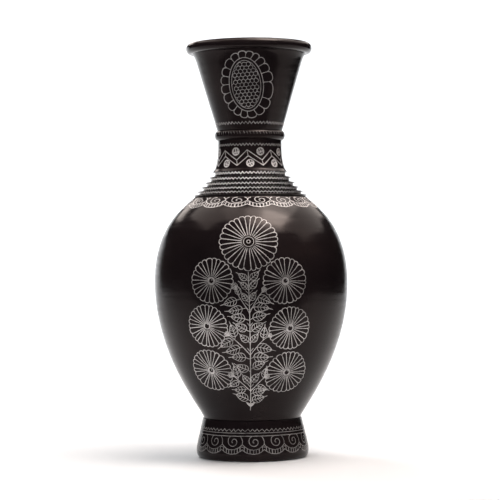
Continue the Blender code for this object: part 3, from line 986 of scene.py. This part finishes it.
def silver_inlay(name, metallic, thin, *painted_light_greys):
    """Dull silvery filling rubbed into the lines, uneven and a little tarnished.

    Thin is the shade where the filling wore thin. The greys by height are (height in millimetres, grey),
    from the lowest up:
    painted light and shade, each band of lines made lighter or darker to stand for how the lamps fall on
    it.
    """
    material, tree, shader, place = new_material(name)
    patchy = noise(tree, place, 260.0, 5.0)
    drift = noise(tree, place, 35.0, 3.0)
    patches = math_node(tree, "MULTIPLY", patchy, 0.6)
    drifts = math_node(tree, "MULTIPLY", drift, 0.4)
    blend = math_node(tree, "ADD", patches, drifts)
    worn = (thin, 0.96 * thin, 0.95 * thin)
    uneven = ramp(tree, blend, (0.34, worn), (0.50, (0.80, 0.77, 0.76)), (0.66, (1.0, 0.97, 0.95)))
    level = remap(tree, height_of(tree, place), 0.0, HEIGHT * MM, 0.0, 1.0)
    # Painted light and shade: a grey for each height, lighter where the lines should look lit and darker
    # where they should look shaded.
    stops = [(height / HEIGHT, (grey, 0.975 * grey, 0.965 * grey)) for height, grey in painted_light_greys]
    colour = mix_colour(tree, 1.0, uneven, ramp(tree, level, *stops), "MULTIPLY")
    rough = remap(tree, patchy, 0.3, 0.7, 0.36, 0.60)
    relief = bump(tree, (noise(tree, place, 2400.0, 3.0), 0.35, 0.0001))
    feed(tree, shader, {"Base Color": colour, "Metallic": metallic, "Roughness": rough, "Normal": relief})
    return material


# ---------------------------------------------------------------- the vase

CLAY = burnished_clay()
# One silver filling in four copies whose greys are painted light and shade: the shoulder's zigzags, which
# sit in the shade of the lips, get full grey, and the other bands get darker greys.
SILVER = silver_inlay(
    "silvery_inlay", 0.2, 0.36,
    (30, 0.33), (65, 0.36), (96, 0.43), (112, 0.22), (120, 0.13), (134, 0.22), (150, 0.37),
)
SHOULDER_SILVER = silver_inlay(
    "shoulder_inlay", 0.0, 0.62, (180, 0.40), (187, 0.40), (190, 1.0), (206, 1.0)
)
NECK_SILVER = silver_inlay(
    "neck_inlay", 0.2, 0.36,
    (210, 0.64), (221, 0.35), (224, 0.24), (233, 0.20), (240, 0.29), (260, 0.21),
)
FOOT_SILVER = silver_inlay("foot_inlay", 0.3, 0.36, (4, 0.16), (24, 0.20))


def build_clay():
    for name, node, outline in clay_sections():
        piece = turned_mesh(name, outline)
        piece.data.materials.append(CLAY)
        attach(piece, "root")
        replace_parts(piece, node)


FRONT, BACK = 0.0, 180.0
MEDALLION_TURN = -3.9
MEDALLION_HEIGHT = 267.6
BEAD_STROKES = 66
STEP_TOOTH = 2.7


def middle_of(node):
    """The height of a CAD node's middle, in millimetres."""
    return (foot_of(node) + top_of(node)) / 2


def build_bead_hatching():
    """Short slanting strokes round the collar bead."""
    bead = Inlay("collar_bead_hatching", BEAD)
    for k in range(BEAD_STROKES):
        at = TAU * k / BEAD_STROKES + RNG.normal(0, 0.012)
        high = BEAD_TOP - 1.5 + RNG.normal(0, 0.15)
        bead.line([at, at + 0.012, at + 0.03], [high, high - 0.8, high - 1.9], 0.4)
    bead.finish(NECK_SILVER)


def build_shoulder_zigzags():
    """A zigzag on the wall under each lip, finer where the steps are lower."""
    steps = lips()
    for index, (lip, low) in enumerate(zip(steps, steps[1:]), 1):
        step = terrace(lip, low)
        under_lip = (step[:, 1] < lip[1] - 0.1) & (step[:, 0] < lip[0] - 0.5)
        fall = lip[1] - low[1]
        height = lip[1] - 0.26 * fall - 0.05
        swing = 0.26 * fall + 0.45
        teeth = int(round(TAU * (lip[0] - UNDERCUT) / STEP_TOOTH))
        name = f"shoulder_zigzag_{index}_inlay"
        wall = Meridian(step[under_lip])
        build_zigzag(name, wall, SHOULDER_SILVER, height, swing, teeth, width=0.10 * fall + 0.14)


def build_inlay():
    """Every piece of silver, from the mouth down."""
    mouth = Inlay("mouth_medallion_inlay", MOUTH)
    for turn in (FRONT, BACK):
        medallion(mouth, turn + MEDALLION_TURN, MEDALLION_HEIGHT)
    mouth.finish(NECK_SILVER)
    build_zigzag("mouth_zigzag_inlay", MOUTH, NECK_SILVER, height=241.1, swing=1.7, teeth=60, width=0.54)

    build_bead_hatching()
    build_zigzag("neck_zigzag_inlay", NECK, NECK_SILVER, height=225.6, swing=1.45, teeth=58, width=0.5)
    chevrons = Inlay("neck_chevron_inlay", NECK)
    chevron_band(chevrons)
    chevrons.finish(NECK_SILVER)

    build_shoulder_zigzags()
    shoulder = Inlay("shoulder_scallop_inlay", BODY)
    levels = (187.3, 185.2, 182.6, 182.5, 180.3)
    curl = (5.2, 0.50, 185.2, 0.55)
    scallop_band(shoulder, 17, -2.5, levels, curl, hooks=(-2.4, 2.4), fine=0.74)
    shoulder.finish(SHOULDER_SILVER)

    for label, turn in (("front", FRONT), ("back", BACK)):
        panel = Inlay(f"bouquet_{label}_inlay", BODY)
        bouquet(panel, turn)
        panel.finish(SILVER)

    build_zigzag("foot_zigzag_inlay", FOOT, FOOT_SILVER, height=22.2, swing=1.7, teeth=68, width=0.55)
    for node in ("foot_line_upper", "foot_line_lower"):
        line = Inlay(node + "_inlay", FOOT)
        ring_line(line, middle_of(node), 0.58)
        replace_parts(line.finish(FOOT_SILVER), node)
    foot = Inlay("foot_scallop_inlay", FOOT)
    levels = (middle_of("foot_line_lower") - 0.3, 12.4, 8.6, 8.8, 5.6)
    curl = (4.5, 0.95, 14.2, 0.25)
    scallop_band(foot, 16, -10.6, levels, curl, hooks=(-1.6,), fine=0.64)
    foot.finish(FOOT_SILVER)


# ---------------------------------------------------------------- floor, light and camera

# The paper sweep: its edges, where it starts to rise, how round it is there, and how far under the
# vase it lies.
SWEEP_FRONT, SWEEP_BACK = -0.25, 1.7
SWEEP_LEFT, SWEEP_RIGHT = -1.9, 1.2
SWEEP_RADIUS = 0.72
SWEEP_STEPS = 12
SWEEP_DROP = 0.0002
PAPER = (0.46, 0.475, 0.49)

# Lamps that show in no reflection: (name, place, aim, size, watts, spread in degrees).
BACKDROP_LAMPS = (
    ("backdrop_left", (-1.5, 0.9, 1.9), (-0.7, 2.4, 0.25), (1.4, 0.8), 42, 110),
    ("backdrop_right", (1.2, 0.9, 1.9), (0.56, 2.4, 0.25), (1.4, 0.8), 28, 110),
)
FILL_LAMPS = (
    ("floor_fill", (-0.3, 0.5, 0.9), (-0.16, 0.12, 0.0), (0.35, 0.35), 9, 180),
    ("floor_left", (-1.5, 0.8, 0.9), (-1.5, 0.8, 0.0), (0.7, 0.7), 3.5, 100),
    ("front_fill", (-0.4, -1.9, 0.32), (0.0, 0.0, 0.15), (1.2, 0.6), 50, 180),
)

# Softboxes that face straight down: (name, across, forward, height, width, depth, watts).
# The centre one hangs just under the main one and makes the bright patch on the shoulder.
SOFTBOXES = (
    ("softbox_main", 0.28, -0.20, 1.05, 0.66, 0.68, 12.5),
    ("softbox_centre", 0.37, -0.23, 1.03, 0.42, 0.40, 6.5),
    ("softbox_bridge", 0.33, 0.375, 1.05, 0.56, 0.45, 3.8),
    ("softbox_middle", -0.20, -0.08, 1.05, 0.34, 0.46, 1.8),
    ("softbox_left", -0.64, 0.245, 1.05, 0.54, 0.99, 3.7),
    ("softbox_right", 1.05, 0.42, 1.05, 0.88, 1.54, 7.4),
    ("softbox_back_left", -0.75, 1.80, 1.05, 0.90, 1.10, 9.0),
    ("softbox_back_right", 0.85, 1.70, 1.05, 0.60, 1.00, 3.5),
)
WARM_WHITE = (1.0, 0.90, 0.84)
ROOM_LIGHT = (0.9, 0.95, 1.0)
ROOM_STRENGTH = 0.01
WHITE = (1.0, 1.0, 1.0)

VIEW_HEIGHT = 0.1471
VIEW_DISTANCE = 1.3824
VIEW_ASIDE = -0.0006
VIEW_ROLL = math.radians(0.54)
VIEW_LENS = 136.8
VIEW_SHIFT = 0.008
SENSOR_WIDTH = 36.0


def sweep_paper():
    """Matt paper, very slightly uneven."""
    material, tree, shader, place = new_material("sweep_paper")
    shade = remap(tree, noise(tree, place, 3.0, 3.0), 0.3, 0.7, 0.97, 1.0)
    feed(tree, shader, {"Base Color": mix_colour(tree, 1.0, PAPER, shade, "MULTIPLY"), "Roughness": 0.8})
    return material


def build_stage():
    """A pale floor that sweeps up behind the vase in one curve."""
    curve = arc((SWEEP_BACK, SWEEP_RADIUS), (SWEEP_RADIUS, SWEEP_RADIUS), -90, 0, SWEEP_STEPS)
    verts = []
    for y, z in [(SWEEP_FRONT, 0.0), *curve.tolist()]:
        verts += [(SWEEP_LEFT, y, z - SWEEP_DROP), (SWEEP_RIGHT, y, z - SWEEP_DROP)]
    faces = [(2 * i, 2 * i + 1, 2 * i + 3, 2 * i + 2) for i in range(SWEEP_STEPS + 1)]
    sweep = mesh_object("studio_sweep", verts, faces)
    sweep.data.materials.append(sweep_paper())


def area_light(name, place, size, power):
    """A rectangular lamp that faces straight down."""
    light = bpy.data.lights.new(name, "AREA")
    light.shape = "RECTANGLE"
    light.size, light.size_y = size
    light.energy = power
    lamp = bpy.data.objects.new(name, light)
    bpy.context.scene.collection.objects.link(lamp)
    lamp.location = place
    return lamp


def hidden_lamp(name, place, aim, size, power, spread):
    """A lamp turned to a point, which lights things and isn't mirrored in the clay."""
    lamp = area_light(name, place, size, power)
    lamp.rotation_euler = (Vector(aim) - Vector(place)).to_track_quat("-Z", "Y").to_euler()
    lamp.data.spread = math.radians(spread)
    lamp.visible_glossy = False


def build_lights():
    """Lamps on the backdrop, softboxes for the reflections, and fills."""
    for lamp in BACKDROP_LAMPS:
        hidden_lamp(*lamp)
    for name, across, forward, height, width, depth, power in SOFTBOXES:
        area_light(name, (across, forward, height), (width, depth), power).data.color = WARM_WHITE
    for lamp in FILL_LAMPS:
        hidden_lamp(*lamp)


def build_world():
    """A dim room that the camera itself sees as white."""
    world = bpy.data.worlds.new("studio")
    bpy.context.scene.world = world
    world.use_nodes = True
    tree = world.node_tree
    room = tree.nodes["Background"]
    feed(tree, room, {"Color": ROOM_LIGHT, "Strength": ROOM_STRENGTH})
    white = add(tree, "ShaderNodeBackground", {"Color": WHITE})
    seen = add(tree, "ShaderNodeLightPath", {}).outputs["Is Camera Ray"]
    inputs = {"Fac": seen, 1: room.outputs["Background"], 2: white.outputs["Background"]}
    both = add(tree, "ShaderNodeMixShader", inputs)
    feed(tree, tree.nodes["World Output"], {"Surface": both.outputs["Shader"]})


def build_camera():
    """A long lens at the vase's middle height, square to the front panel."""
    camera = bpy.data.cameras.new("view")
    camera.sensor_width = SENSOR_WIDTH
    camera.lens = VIEW_LENS
    camera.shift_y = VIEW_SHIFT
    holder = bpy.data.objects.new("view", camera)
    bpy.context.scene.collection.objects.link(holder)
    holder.location = (VIEW_ASIDE, -VIEW_DISTANCE, VIEW_HEIGHT)
    holder.rotation_euler = Euler((math.radians(90), VIEW_ROLL, 0.0))
    bpy.context.scene.camera = holder


build_clay()
build_inlay()
build_stage()
build_lights()
build_world()
build_camera()
bpy.context.scene.view_settings.view_transform = "Standard"
